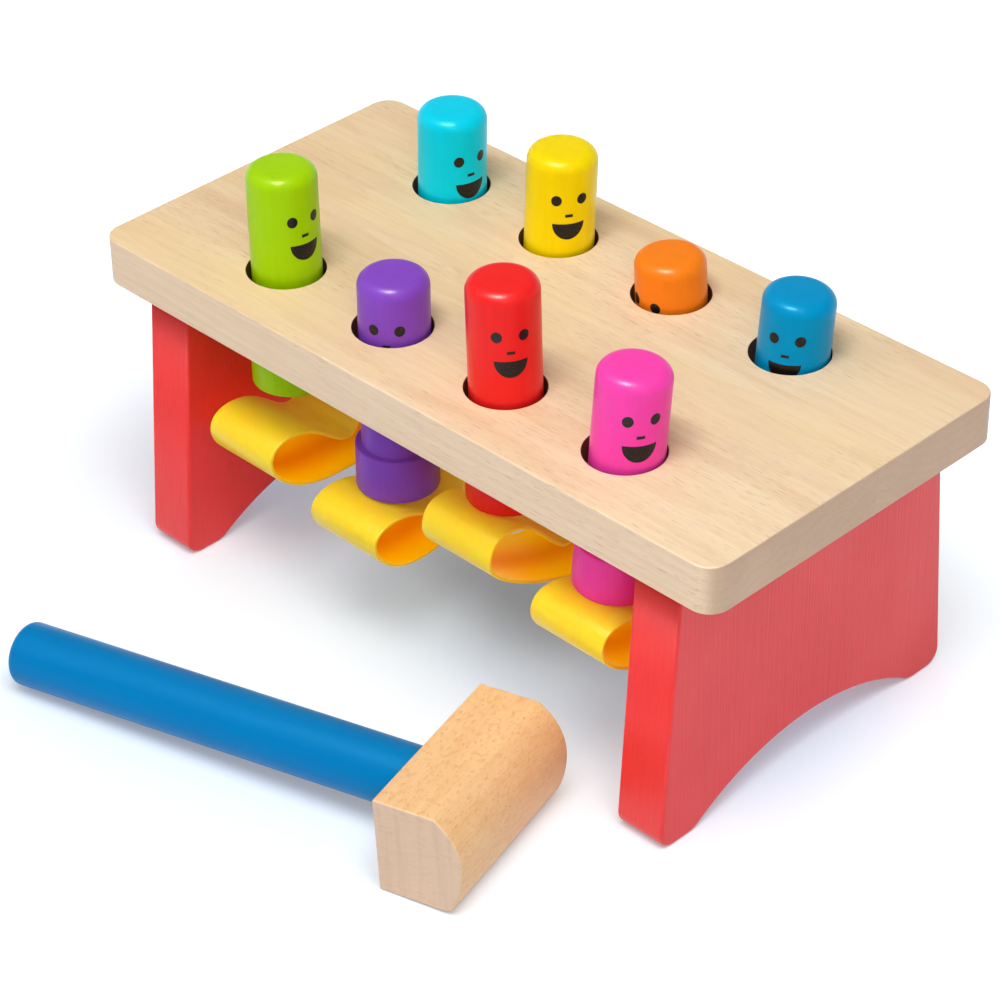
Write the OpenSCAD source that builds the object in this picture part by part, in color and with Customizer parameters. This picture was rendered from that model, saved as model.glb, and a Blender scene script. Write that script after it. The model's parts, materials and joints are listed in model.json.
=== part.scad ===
// Peg pounding bench: a board with eight captive pegs, four looped spring bands and a loose mallet.
// Front is -Y, the length runs along X, and Z is up. The origin is on the floor, under the middle of
// the space that the bench and the mallet lying in front of it take up together.

/* [Board] */
// Thickness of the board
board_t = 17.8; // [12:0.1:30]
// From the outer row of holes to the long edge of the board
edge_margin = 29.75; // [22:0.25:45]
// How far the board reaches past the outer face of each leg
board_overhang = 17.6; // [5:0.1:40]
// Radius of the board's upright corners
board_corner_r = 8; // [3:0.5:16]

/* [Peg holes] */
// Distance between two columns of holes
hole_pitch = 53; // [46:0.5:75]
// Distance between the front and the back row of holes
row_spacing = 79; // [70:0.5:110]
// From the last column of holes to the inner face of the leg
end_gap = 26.5; // [22:0.5:60]
// How much wider a hole is than the peg in it
hole_play = 3.2; // [2:0.1:5]
// Chamfer round the top and the bottom of each hole
hole_chamfer = 0.3; // [0.2:0.1:1.5]

/* [Legs] */
// Height of a leg, from the floor to the underside of the board
leg_h = 102.2; // [95:0.1:140]
// Thickness of a leg
leg_t = 19.8; // [14:0.1:30]
// How far the top of a leg stands in from the long edges of the board
leg_side_inset = 6.3; // [1:0.1:12]
// How much further out a leg's edge is at the floor than at the top
leg_flare = 7.8; // [0:0.1:15]
// Radius of the outer corner of a foot
foot_r = 6; // [3:0.5:9]
// Radius where the arch runs out into a foot
foot_inner_r = 8; // [4:0.5:12]
// Height of the arch between the feet
arch_h = 16.7; // [10:0.1:24]
// Radius of the arch
arch_r = 97; // [85:1:110]

/* [Pegs] */
// Diameter of a peg's shaft
peg_d = 24.5; // [20:0.1:26]
// Length of a peg
peg_l = 83.5; // [80:0.5:86]
// Radius round the top of a peg
peg_top_r = 4.4; // [2:0.1:7]
// Height of the stop collar at a peg's foot
collar_h = 17; // [12:0.5:20]
// How far the collar reaches past the edge of the hole, all round
collar_overlap = 0.65; // [0.4:0.05:1.2]
// Chamfer on the two edges of the collar
collar_chamfer = 0.5; // [0.2:0.1:1]

/* [Peg heights] */
// Green peg's top above the board
green_rise = 39.3; // [36:0.1:44]
// Cyan peg's top above the board
cyan_rise = 31.2; // [28:0.1:35]
// Purple peg's top above the board
purple_rise = 20.7; // [16:0.1:25]
// Yellow peg's top above the board
yellow_rise = 35.8; // [31:0.1:40]
// Red peg's top above the board
red_rise = 41.6; // [37:0.1:44]
// Orange peg's top above the board
orange_rise = 16.1; // [13:0.1:20]
// Pink peg's top above the board
pink_rise = 32.5; // [28:0.1:37]
// Blue peg's top above the board
blue_rise = 24.1; // [20:0.1:28]

/* [Peg lean] */
// Angle that the green peg leans in its wide hole, in degrees
green_angle = -0.4; // [-4:0.1:4]
// Angle that the green peg also leans back, away from the front right corner
green_tip = 1.4; // [-2:0.1:2]
// Angle of the cyan peg
cyan_angle = 1.1; // [-4:0.1:4]
// Angle of the purple peg
purple_angle = 0.6; // [-4:0.1:4]
// Angle of the yellow peg
yellow_angle = 2.4; // [-4:0.1:4]
// Angle of the red peg
red_angle = -0.8; // [-4:0.1:4]
// Angle of the orange peg
orange_angle = -2; // [-4:0.1:4]
// Angle of the pink peg
pink_angle = 4; // [-4:0.1:4]
// Angle of the blue peg
blue_angle = 4; // [-4:0.1:4]

/* [Spring bands] */
// Width of a band
band_w = 32; // [26:0.5:36]
// Thickness of a band
band_t = 1.2; // [0.8:0.1:1.6]
// Height of a loop's end, from its crest down to its bottom
lobe_h = 25.5; // [22:0.5:28]
// How far a loop's nose reaches out past the row of holes
nose_out = 26.5; // [20:0.5:28]
// How far a loop's crest lies out from the row of holes
crest_out = 16; // [13:0.5:18]
// How far the dip behind a crest lies in from the row of holes
dip_in = 10.7; // [9:0.1:12]
// How far the dip lies below the crest
dip_drop = 12; // [8:0.5:14]
// How far the nose lies below the crest
nose_drop = 7.8; // [5:0.1:10]
// From the green peg's foot down to its loop, as the hole holds the peg up
green_loop_gap = 10.2; // [2:0.1:14]
// How far the loop bulges up in front of the pink peg's leaning foot
pink_bulge = 1.9; // [0:0.1:2]

/* [Clamp batten] */
// Width of the batten that holds the bands to the board
batten_w = 16; // [10:0.5:18]
// Height of the batten
batten_h = 9; // [7:0.5:12]
// Gap between each end of the batten and the leg beside it
batten_end_gap = 0.5; // [0.3:0.1:3]

/* [Batten screws] */
// Diameter of a screw's shank
screw_d = 3.5; // [3:0.1:4.5]
// Diameter of a screw's countersunk head
screw_head_d = 7; // [6:0.1:8]
// Length of a screw
screw_l = 22; // [18:0.5:24]
// Width of the cross recess in a screw's head
recess_w = 0.9; // [0.6:0.1:1.2]
// Length of each slot of the cross recess
recess_l = 3.6; // [3:0.1:4.4]
// Depth of the cross recess
recess_depth = 1.2; // [0.8:0.1:1.4]
// From the inner face of a leg to the end screw
end_screw_in = 6; // [5:0.5:8]

/* [Leg dowels] */
// Diameter of a dowel between leg and board
dowel_d = 8; // [6:0.5:10]
// How deep a dowel goes into the board
dowel_in_board = 11; // [6:0.5:11]
// How deep a dowel goes into the leg
dowel_in_leg = 22; // [12:0.5:30]
// Distance between a leg's two dowels
dowel_spacing = 70; // [50:1:80]

/* [Mallet] */
// Length of the mallet's head, from one striking face to the other
head_l = 67.5; // [55:0.5:85]
// Height of the head
head_h = 36.4; // [30:0.1:38]
// Depth of the head, from the handle's side to the crown
head_w = 31.9; // [28:0.1:38]
// Height of the line along which the crown reaches furthest out
crown_mid_h = 19.6; // [17:0.1:22]
// Radius of the crown above that line
crown_r = 19.4; // [19:0.1:30]
// Radius of the crown below that line
flank_r = 37.5; // [30:0.5:60]
// Radius of the crown's lower corner
toe_r = 3; // [1:0.5:6]
// Radius where the head's flat top turns into the crown
bend_r = 3; // [1:0.5:6]
// Radius of the head's two corners on the handle's side
head_corner_r = 0.8; // [0.5:0.1:4]
// Diameter of the handle
handle_d = 22.5; // [18:0.5:26]
// Length of the handle outside the head
handle_l = 163.1; // [120:0.1:200]
// How deep the handle goes into the head
handle_seat = 22; // [14:0.5:24]
// Radius round the end of the handle
handle_end_r = 3; // [1:0.5:6]
// Turn of the mallet on the floor, from the length of the bench
mallet_turn = 15; // [0:1:25]
// From the middle of the bench along its length to the head's handle side
mallet_x = 64.5; // [40:0.1:80]
// Gap between the feet's front line and the back end of the head
mallet_gap = 9.4; // [4:0.1:30]

/* [Fits] */
// Gap all round a glued dowel, a glued handle and a screw's shank
glue_gap = 0.05; // [0.02:0.01:0.1]
// Gap between a peg's foot and the band under it
seat_gap = 0.3; // [0.2:0.05:0.6]

/* [Hidden] */
$fn = 64;

// Sizes that follow from the ones above
hole_d = peg_d + hole_play;
collar_d = hole_d + 2 * collar_overlap;
board_w = row_spacing + 2 * edge_margin;
leg_inner_x = 1.5 * hole_pitch + end_gap;
leg_outer_x = leg_inner_x + leg_t;
leg_mid_x = leg_inner_x + leg_t / 2;
board_l = 2 * (leg_outer_x + board_overhang);
bench_h = leg_h + board_t;
leg_top_half = board_w / 2 - leg_side_inset;
foot_half = leg_top_half + leg_flare;
row_y = row_spacing / 2;
overrun = board_t / 10;
batten_bottom = leg_h - band_t - batten_h;
head_cone_h = (screw_head_d - screw_d) / 2;
end_screw_x = leg_inner_x - end_screw_in;
screw_xs = [-end_screw_x, -hole_pitch, 0, hole_pitch, end_screw_x];

// Mallet on the floor: it rests on the head's lower edge and on the end of its handle
tilt_arm = [handle_l - handle_end_r, (head_h - handle_d) / 2 + handle_end_r];
mallet_tilt = atan2(tilt_arm[1], tilt_arm[0]) - asin(handle_end_r / norm(tilt_arm));
mallet_y = -(foot_half + mallet_gap + head_l / 2 * cos(mallet_turn));
handle_end_y = mallet_y - handle_l * cos(mallet_tilt) * sin(mallet_turn);
mallet_front_y = handle_end_y - (handle_d / 2) * cos(mallet_turn);
bench_y = -(mallet_front_y + foot_half) / 2;

// Places of the pegs: column in pitches from the middle, row (front -1, back 1), and where the peg
// stands in its hole, as shares of the play: along the heading of the lean and across it
green_shares = [-1.5, -1, 0.15, 0.68];
cyan_shares = [-1.5, 1, 0.1, 0];
purple_shares = [-0.5, -1, 0.25, 0];
yellow_shares = [-0.5, 1, -0.1, 0];
red_shares = [0.5, -1, 0.1, 0];
orange_shares = [0.5, 1, 0.2, 0];
pink_shares = [1.5, -1, 0.19, 0];
blue_shares = [1.5, 1, 0.25, 0];

// Each peg as its places, its rise, its angle along the heading and its angle across it
GREEN = [green_shares, green_rise, green_angle, green_tip];
CYAN = [cyan_shares, cyan_rise, cyan_angle, 0];
PURPLE = [purple_shares, purple_rise, purple_angle, 0];
YELLOW = [yellow_shares, yellow_rise, yellow_angle, 0];
RED = [red_shares, red_rise, red_angle, 0];
ORANGE = [orange_shares, orange_rise, orange_angle, 0];
PINK = [pink_shares, pink_rise, pink_angle, 0];
BLUE = [blue_shares, blue_rise, blue_angle, 0];
// Heading of the pegs' angles, in degrees from the bench's length; the tip is square to it
lean_heading = 45.6;

// Height of a crest where the two pegs of a pair stand level
mid_band_h = bench_h + (purple_rise + yellow_rise) / 2 - peg_l - seat_gap;

// Front end of each band, as shares of the common sizes: crest out, nose out, nose drop and height.
// The back ends keep the common sizes, except for the height, which is one for the whole band.
green_cyan_shares = [1, 0.97, 0.86, 1];
purple_yellow_shares = [1, 1.01, 0.76, 0.98];
red_orange_shares = [1.02, 0.92, 1.1, 0.94];
pink_blue_shares = [1.22, 1.02, 0.8, 0.93];

// Curves of a band: how far each curve's two handles reach, as shares of the curve's own spans
clamp_bend_share = 0.66;
drop_pull_share = 0.56;
dip_flat_share = 0.27;
crest_flat_share = 0.5;
crest_round_share = 0.6;
nose_round_share = 0.62;
nose_low_share = 0.44;
bottom_flat_share = 0.61;
bottom_end_share = 0.9;
top_lift_out_share = 1.22;
bottom_lift_out_share = 1.57;
curve_steps = 12;

// Points of an arc, from one angle to another
function arc(c, r, a0, a1, n) =
  [for (i = [0:n]) let (a = a0 + (a1 - a0) * i / n) [c[0] + r * cos(a), c[1] + r * sin(a)]];

// Points of a cubic curve, without its last one
function curve(p0, p1, p2, p3, n) =
  [for (i = [0:n - 1]) let (t = i / n, s = 1 - t)
    s * s * s * p0 + 3 * s * s * t * p1 + 3 * s * t * t * p2 + t * t * t * p3];

function smooth(x, a, b) = let (t = max(0, min(1, (x - a) / (b - a)))) t * t * (3 - 2 * t);

function lifted(points, lift, out_share) =
  [for (p = points) [p[0], p[1] + lift * smooth(p[0], batten_w / 2, out_share * row_y)]];

function mirrored(points) = [for (p = points) [-p[0], p[1]]];

function without_first(points) = [for (i = [1:len(points) - 1]) points[i]];

function without_ends(points) = [for (i = [1:len(points) - 2]) points[i]];

function reversed(points) = [for (i = [len(points) - 1:-1:0]) points[i]];

// A closed outline moved sideways by a distance, along the normal at each of its points
function shifted(points, d) =
  let (n = len(points))
  [for (i = [0:n - 1])
    let (v = points[(i + 1) % n] - points[(i + n - 1) % n])
    points[i] + d * [v[1], -v[0]] / norm(v)];

// Height of the lowest point of a leaning peg, and the crest of the band that carries it
function peg_foot_z(peg) = bench_h + peg[1] - peg_l;
function lean_drop(peg) = collar_d / 2 * sin(abs(peg[2]));
function crest_z(peg) = peg_foot_z(peg) - lean_drop(peg) - seat_gap;

// Middle line of half a band, from the clamp over the crest and round the nose to the bottom.
// The loop is drawn at its middle height first, and then its end is lifted to the crest's height.
function half_band(crest, shares) =
  let (
    top_z = leg_h - band_t / 2,
    flat_y = batten_w / 2,
    mid_z = mid_band_h - band_t / 2,
    dip = [row_y - dip_in, mid_z - dip_drop],
    drop = nose_drop * shares[2],
    top = [row_y + crest_out * shares[0], mid_z],
    nose = [row_y + nose_out * shares[1] - band_t / 2, mid_z - drop],
    low = [row_y * bottom_end_share, mid_z - lobe_h * shares[3] + band_t],
    lift = crest - mid_band_h,
    fall = top_z - dip[1],
    upper = concat(
      [[0, top_z]],
      curve([flat_y, top_z], [flat_y + clamp_bend_share * (dip[0] - flat_y), top_z],
        [dip[0] - drop_pull_share * (dip[0] - flat_y), dip[1]], dip, curve_steps + 2),
      curve(dip, [dip[0] + dip_flat_share * (top[0] - dip[0]), dip[1]],
        [top[0] - crest_flat_share * (top[0] - dip[0]), top[1]], top, curve_steps),
      curve(top, [top[0] + crest_round_share * (nose[0] - top[0]), top[1]],
        [nose[0], nose[1] + nose_round_share * drop], nose, curve_steps / 2)),
    lower = concat(
      curve(nose, [nose[0], nose[1] - nose_low_share * (nose[1] - low[1])],
        [low[0] + bottom_flat_share * (nose[0] - low[0]), low[1]], low, curve_steps),
      [for (i = [0:curve_steps / 3 - 1]) [low[0] * (1 - 3 * i / curve_steps), low[1]]]))
  concat(lifted(upper, lift, top_lift_out_share), lifted(lower, lift, bottom_lift_out_share));

// The whole loop in the Y-Z plane, front half first, with no point twice
function band_line(front, back, shares) =
  let (
    f = mirrored(half_band(front, shares)),
    b = half_band(back, [1, 1, 1, shares[3]]),
    low_z = f[len(f) - 1][1])
  concat(
    f,
    [[0, low_z]],
    reversed([for (i = [1:len(b) - 1]) b[i]]));

module at_bench() {
  translate([0, bench_y, 0]) children();
}

// Stands a peg drawn upright from its foot in its hole, with its lean
module in_hole(peg) {
  place = peg[0];
  shift = hole_play / 2;
  at_bench()
    translate([place[0] * hole_pitch, place[1] * row_y, leg_h + board_t / 2])
      rotate([0, 0, lean_heading])
        translate([place[2] * shift, place[3] * shift, 0])
          rotate([-peg[3], peg[2], 0])
            translate([0, 0, peg_foot_z(peg) - leg_h - board_t / 2])
              children();
}

module peg_shape() {
  r = peg_d / 2;
  rc = collar_d / 2;
  rotate_extrude()
    polygon(concat(
      [[0, 0], [rc - collar_chamfer, 0], [rc, collar_chamfer],
        [rc, collar_h - collar_chamfer], [rc - collar_chamfer, collar_h], [r, collar_h]],
      arc([r - peg_top_r, peg_l - peg_top_r], peg_top_r, 0, 90, curve_steps),
      [[0, peg_l]]));
}

// One upright hole through the board with both rims chamfered
module peg_hole() {
  r = hole_d / 2;
  rotate_extrude()
    polygon([
      [0, leg_h - overrun], [r + hole_chamfer + overrun, leg_h - overrun], [r, leg_h + hole_chamfer],
      [r, bench_h - hole_chamfer], [r + hole_chamfer + overrun, bench_h + overrun],
      [0, bench_h + overrun]]);
}

module board_blank() {
  r = board_corner_r;
  translate([-board_l / 2 + r, -board_w / 2, leg_h]) cube([board_l - 2 * r, board_w, board_t]);
  translate([-board_l / 2, -board_w / 2 + r, leg_h]) cube([board_l, board_w - 2 * r, board_t]);
  for (x = [-1, 1], y = [-1, 1])
    translate([x * (board_l / 2 - r), y * (board_w / 2 - r), leg_h]) cylinder(h = board_t, r = r);
}

// The dowels of one leg, or with a gap and an overrun the holes that take them
module leg_dowels(side, gap, extra) {
  for (y = [-1, 1])
    translate([side * leg_mid_x, y * dowel_spacing / 2, leg_h - dowel_in_leg - extra])
      cylinder(h = dowel_in_leg + dowel_in_board + 2 * extra, r = dowel_d / 2 + gap);
}

// The countersunk screws, from the batten's lower face upwards. For the holes that take them they
// are wider by a gap and run out below the batten.
module screws(gap, run_out) {
  r = screw_d / 2 + gap;
  rh = screw_head_d / 2 + gap;
  tip = batten_bottom + screw_l + gap;
  rim = run_out > 0 ? [batten_bottom - run_out, batten_bottom] : [batten_bottom];
  for (x = screw_xs)
    translate([x, 0, 0])
      rotate_extrude()
        polygon(concat(
          [[0, rim[0]]],
          [for (z = rim) [rh, z]],
          [[r, batten_bottom + head_cone_h], [r, tip - r], [0, tip]]));
}

// Outline of a leg in the Y-Z plane: flared edges, rounded feet and the arch between them
module leg_outline() {
  lean = atan2(leg_flare, leg_h);
  foot_c = [foot_half - foot_r * (1 + sin(lean)) / cos(lean), foot_r];
  arch_c = [0, arch_h - arch_r];
  inner_c = [sqrt(pow(arch_r + foot_inner_r, 2) - pow(foot_inner_r - arch_c[1], 2)), foot_inner_r];
  meet = atan2(inner_c[1] - arch_c[1], inner_c[0] - arch_c[0]);
  side = concat(
    arc(inner_c, foot_inner_r, meet - 180, -90, curve_steps / 2),
    arc(foot_c, foot_r, -90, lean, curve_steps),
    [[leg_top_half, leg_h]]);
  polygon(concat(
    without_ends(arc(arch_c, arch_r, 180 - meet, meet, 4 * curve_steps)),
    side,
    mirrored(reversed(side))));
}

module leg(side) {
  at_bench() difference() {
    translate([side * leg_mid_x - leg_t / 2, 0, 0])
      rotate([90, 0, 90]) linear_extrude(leg_t) leg_outline();
    leg_dowels(side, glue_gap, glue_gap);
  }
}

module band(column, front, back, shares) {
  line = band_line(front, back, shares);
  at_bench()
    translate([column * hole_pitch - band_w / 2, 0, 0])
      rotate([90, 0, 90])
        linear_extrude(band_w)
          difference() {
            polygon(shifted(line, band_t / 2));
            polygon(shifted(line, -band_t / 2));
          }
}

module at_mallet() {
  at_bench()
    translate([mallet_x, mallet_y, 0])
      rotate([0, 0, mallet_turn])
        rotate([0, -mallet_tilt, 0])
          children();
}

// Outline of the head across its length: its handle side is at zero, and its crown is the far side
function head_outline() =
  let (
    c = head_corner_r,
    crown = [head_w - crown_r, crown_mid_h],
    flank = [head_w - flank_r, crown_mid_h],
    toe_x = flank[0] + sqrt(pow(flank_r - toe_r, 2) - pow(crown_mid_h - toe_r, 2)),
    bend_z = head_h - bend_r,
    bend_x = crown[0] + sqrt(max(0, pow(crown_r - bend_r, 2) - pow(bend_z - crown_mid_h, 2))),
    low = atan2(toe_r - crown_mid_h, toe_x - flank[0]),
    high = atan2(bend_z - crown_mid_h, bend_x - crown[0]))
  concat(
    arc([c, c], c, 180, 270, curve_steps / 3),
    arc([toe_x, toe_r], toe_r, 270, 360 + low, curve_steps / 2),
    without_first(arc(flank, flank_r, low, 0, curve_steps)),
    without_first(arc(crown, crown_r, 0, high, curve_steps)),
    without_first(arc([bend_x, bend_z], bend_r, high, 90, curve_steps / 3)),
    arc([c, head_h - c], c, 90, 180, curve_steps / 3));

module handle_shape(gap, extra) {
  r = handle_d / 2 + gap;
  e = handle_end_r;
  translate([-handle_l, 0, head_h / 2])
    rotate([0, 90, 0])
      rotate_extrude()
        polygon(concat(
          [[0, 0]],
          arc([r - e, e], e, -90, 0, curve_steps / 2),
          [[r, handle_l + handle_seat + extra], [0, handle_l + handle_seat + extra]]));
}

module board() {
  color([0.91, 0.79, 0.6])
    at_bench() difference() {
      board_blank();
      for (c = [-1.5:1:1.5], y = [-row_y, row_y]) translate([c * hole_pitch, y, 0]) peg_hole();
      leg_dowels(-1, glue_gap, glue_gap);
      leg_dowels(1, glue_gap, glue_gap);
      screws(glue_gap, overrun);
    }
}

module left_leg() { color([0.85, 0.15, 0.14]) leg(-1); }
module right_leg() { color([0.85, 0.15, 0.14]) leg(1); }
module left_leg_dowels() { color([0.87, 0.74, 0.54]) at_bench() leg_dowels(-1, 0, 0); }
module right_leg_dowels() { color([0.87, 0.74, 0.54]) at_bench() leg_dowels(1, 0, 0); }

module clamp_batten() {
  half_l = leg_inner_x - batten_end_gap;
  color([0.88, 0.76, 0.57])
    at_bench() difference() {
      translate([-half_l, -batten_w / 2, batten_bottom]) cube([2 * half_l, batten_w, batten_h]);
      screws(glue_gap, overrun);
    }
}

module batten_screws() {
  color([0.75, 0.75, 0.77])
    at_bench() difference() {
      screws(0, 0);
      for (x = screw_xs, turn = [0, 90])
        translate([x, 0, batten_bottom])
          rotate([0, 0, turn])
            translate([-recess_l / 2, -recess_w / 2, -recess_depth])
              cube([recess_l, recess_w, 2 * recess_depth]);
    }
}

module green_cyan_band() {
  front = peg_foot_z(GREEN) - green_loop_gap;
  color([1, 0.83, 0.15]) band(green_shares[0], front, crest_z(CYAN), green_cyan_shares);
}

module purple_yellow_band() {
  color([1, 0.83, 0.15])
    band(purple_shares[0], crest_z(PURPLE), crest_z(YELLOW), purple_yellow_shares);
}

module red_orange_band() {
  color([1, 0.83, 0.15]) band(red_shares[0], crest_z(RED), crest_z(ORANGE), red_orange_shares);
}

module pink_blue_band() {
  front = crest_z(PINK) + pink_bulge;
  color([1, 0.83, 0.15]) band(pink_shares[0], front, crest_z(BLUE), pink_blue_shares);
}

module green_peg() { color([0.56, 0.78, 0.1]) in_hole(GREEN) peg_shape(); }
module cyan_peg() { color([0.05, 0.75, 0.85]) in_hole(CYAN) peg_shape(); }
module purple_peg() { color([0.45, 0.28, 0.7]) in_hole(PURPLE) peg_shape(); }
module yellow_peg() { color([0.98, 0.84, 0.1]) in_hole(YELLOW) peg_shape(); }
module red_peg() { color([0.88, 0.16, 0.16]) in_hole(RED) peg_shape(); }
module orange_peg() { color([0.97, 0.5, 0.14]) in_hole(ORANGE) peg_shape(); }
module pink_peg() { color([0.93, 0.22, 0.62]) in_hole(PINK) peg_shape(); }
module blue_peg() { color([0.03, 0.52, 0.74]) in_hole(BLUE) peg_shape(); }

module mallet_head() {
  color([0.9, 0.72, 0.48])
    at_mallet() difference() {
      translate([0, head_l / 2, 0]) rotate([90, 0, 0]) linear_extrude(head_l) polygon(head_outline());
      handle_shape(glue_gap, glue_gap);
    }
}

module mallet_handle() { color([0, 0.5, 0.76]) at_mallet() handle_shape(0, 0); }

board();
left_leg();
right_leg();
left_leg_dowels();
right_leg_dowels();
clamp_batten();
batten_screws();
green_cyan_band();
purple_yellow_band();
red_orange_band();
pink_blue_band();
green_peg();
cyan_peg();
purple_peg();
yellow_peg();
red_peg();
orange_peg();
pink_peg();
blue_peg();
mallet_head();
mallet_handle();
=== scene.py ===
import json
import math

import bmesh
import bpy
import numpy as np
from mathutils import Matrix, Vector
from mathutils.geometry import delaunay_2d_cdt


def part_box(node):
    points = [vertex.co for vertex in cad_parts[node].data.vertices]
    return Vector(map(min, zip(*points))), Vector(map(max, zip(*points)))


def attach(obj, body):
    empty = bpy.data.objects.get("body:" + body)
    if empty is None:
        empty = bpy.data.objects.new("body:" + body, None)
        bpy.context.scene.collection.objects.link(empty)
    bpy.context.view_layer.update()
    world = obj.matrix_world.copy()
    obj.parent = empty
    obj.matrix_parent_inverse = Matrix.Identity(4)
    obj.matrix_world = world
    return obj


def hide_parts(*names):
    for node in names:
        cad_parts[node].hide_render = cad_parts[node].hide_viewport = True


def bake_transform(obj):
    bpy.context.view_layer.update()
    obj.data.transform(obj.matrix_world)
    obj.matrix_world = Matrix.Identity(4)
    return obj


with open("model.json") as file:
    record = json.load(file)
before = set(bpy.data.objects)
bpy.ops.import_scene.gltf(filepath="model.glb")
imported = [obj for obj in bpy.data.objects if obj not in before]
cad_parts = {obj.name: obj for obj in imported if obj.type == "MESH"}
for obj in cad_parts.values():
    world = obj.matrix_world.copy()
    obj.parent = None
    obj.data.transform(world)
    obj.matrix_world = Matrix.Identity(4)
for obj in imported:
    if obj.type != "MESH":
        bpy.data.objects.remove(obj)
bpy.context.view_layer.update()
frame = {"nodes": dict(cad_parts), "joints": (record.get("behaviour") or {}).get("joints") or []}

MM = 0.001
NODES = frame["nodes"]
JOINTS = {joint["child"]: joint for joint in frame["joints"]}

# Camera, as solved from the photograph
CAMERA_PLACE = (0.68124, -0.63657, 0.72492)
CAMERA_AZIMUTH = 45.6
CAMERA_ELEVATION = 35.28
CAMERA_ROLL = -0.98
CAMERA_LENS = 122.25
CAMERA_SENSOR = 36

# Light, where a white surface that faces up comes out just white
AMBIENT = 0.40
# What reflections see above the horizon, and the heights of a ray's direction between which it fades in
CEILING = 0.15
CEILING_SPAN = (0.05, 0.3)
# The floor's own glow near the bench and far from it, and what is added towards the horizon, with
# the distances in metres over which it changes
FLOOR_GLOW = 0.25
FAR_GLOW = 0.5
FAR_GLOW_SPAN = (0.11, 0.30)
HORIZON_GLOW = 0.25
HORIZON_GLOW_SPAN = (0.5, 1.2)
# Half sizes of the oval of floor under the bench, where its shadow is deepest and a painted shadow darkens
# it further, and the spans of its two fades as shares of them: the painted shadow's and the cool glow's
SHADE_HALF_X = 0.13
SHADE_HALF_Y = 0.055
PAINTED_SHADOW_SPAN = (0.05, 0.7)
PAINTED_SHADOW_DEPTH = 0.45
WARM_SPAN = (0.6, 1.7)
FLOOR_HALF = 4.0
KEY_PLACE = (0.095, -0.47, 1.5)
SEEN_RAYS = ("Is Camera Ray", "Is Glossy Ray", "Is Transmission Ray")
# Each lamp: its place, the point that it faces, its size and its power. The glint lamp shows in
# highlights only
LAMPS = {
    "key_lamp": (KEY_PLACE, (0, 0.03, 0.09), (0.6, 0.34), 9.8),
    "left_lamp": ((-0.8, -0.85, 1.1), (0, 0.03, 0.06), (1.2, 1.0), 3.6),
    "right_lamp": ((0.80, -0.6, 0.95), (0, 0.0, 0.06), (0.7, 0.6), 4.5),
    "floor_lamp": ((0.44, -0.36, 1.44), (0, 0.02, 0), (1.0, 0.8), 18.5),
    "glint_lamp": (KEY_PLACE, (0, 0.03, 0.09), (0.3, 0.2), 60),
}
FLOOR_LAMP_COLOUR = (0.92, 0.98, 1.0)

# Rounding of the edges
BOARD_EDGE = 0.6 * MM
HOLE_EDGE = 0.3 * MM
LEG_EDGE = 1.2 * MM
BATTEN_EDGE = 0.8 * MM
HEAD_EDGE = 0.7 * MM
COLLAR_EDGE = 0.6 * MM
COLLAR_FILLET = 0.3 * MM
BAND_EDGE = 0.35 * MM
SCREW_HOLE_EDGE = 0.02 * MM
# Steps of a rounded edge, and of a hole or a turned piece all the way round
EDGE_STEPS = 4
ROUND_STEPS = 96

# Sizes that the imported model's boxes don't give
RING_GAP = 5.2 * MM
BOARD_CORNER = 8 * MM
ROW_OUT = 39.5 * MM
HOLE_RADIUS = 13.85 * MM
LEG_FLARE = 7.8 * MM
FOOT_HALF = 70.75 * MM
FOOT_RADIUS = 6 * MM
FOOT_INNER_RADIUS = 8 * MM
ARCH_HEIGHT = 16.7 * MM
ARCH_RADIUS = 97 * MM
SHAFT_RADIUS = 12.25 * MM
COLLAR_RADIUS = 14.5 * MM
COLLAR_HEIGHT = 17 * MM
PEG_TOP_RADIUS = 4.4 * MM
PEG_TOP_CROWN = 0.25 * MM
BAND_THICKNESS = 1.2 * MM
SCREW_HEAD_RADIUS = 3.55 * MM
SCREW_GAP = 10 * MM
FOOT_SLICE = 0.02 * MM
MALLET_TURN = 15
MALLET_X = 64.5 * MM
MALLET_GAP = 9.4 * MM
HEAD_LENGTH = 67.5 * MM
HEAD_HEIGHT = 36.4 * MM
HEAD_DEPTH = 31.9 * MM
CROWN_MIDDLE = 19.6 * MM
CROWN_RADIUS = 19.4 * MM
FLANK_RADIUS = 37.5 * MM
TOE_RADIUS = 4.6 * MM
HEAD_BEND_RADIUS = 3 * MM
HEAD_CORNER = 0.8 * MM
HANDLE_RADIUS = 11.25 * MM
HANDLE_REACH = 163.1 * MM
HANDLE_SEAT = 22 * MM
HANDLE_END_RADIUS = 3 * MM
HANDLE_END_CROWN = 0.3 * MM

# Steps along a band's curve: its even step, and the least gap kept between its points
BAND_STEP = 0.9 * MM
BAND_LEAST_STEP = 0.2 * MM

# Printed face: sizes along the round of the shaft and along its axis
EYE_OUT = 4.55 * MM
EYE_HALF_WIDTH = 1.85 * MM
EYE_HALF_HEIGHT = 2.0 * MM
NOSE_BELOW_EYES = 5.9 * MM
NOSE_HALF_WIDTH = 1.35 * MM
NOSE_HALF_HEIGHT = 0.55 * MM
MOUTH_BELOW_EYES = 9.0 * MM
MOUTH_HALF_WIDTH = 5.7 * MM
MOUTH_HEIGHT = 6.2 * MM
MOUTH_TOP_SAG = 0.12 * MM
INK_PROUD = 0.05 * MM

# Each peg: heading of its face in degrees, depth of the eyes below its top in mm, and its tilt
# in degrees
FACES = {
    "green": (-6.0, 16.1, 0),
    "cyan": (-11.9, 15.5, 2),
    "purple": (-55.9, 15.7, 2),
    "yellow": (-32.6, 14.3, 2),
    "red": (-34.5, 15.35, 0),
    "orange": (-94.7, 15.1, -3),
    "pink": (-32.2, 13.6, 3),
    "blue": (-64.8, 12.8, 4),
}

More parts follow.
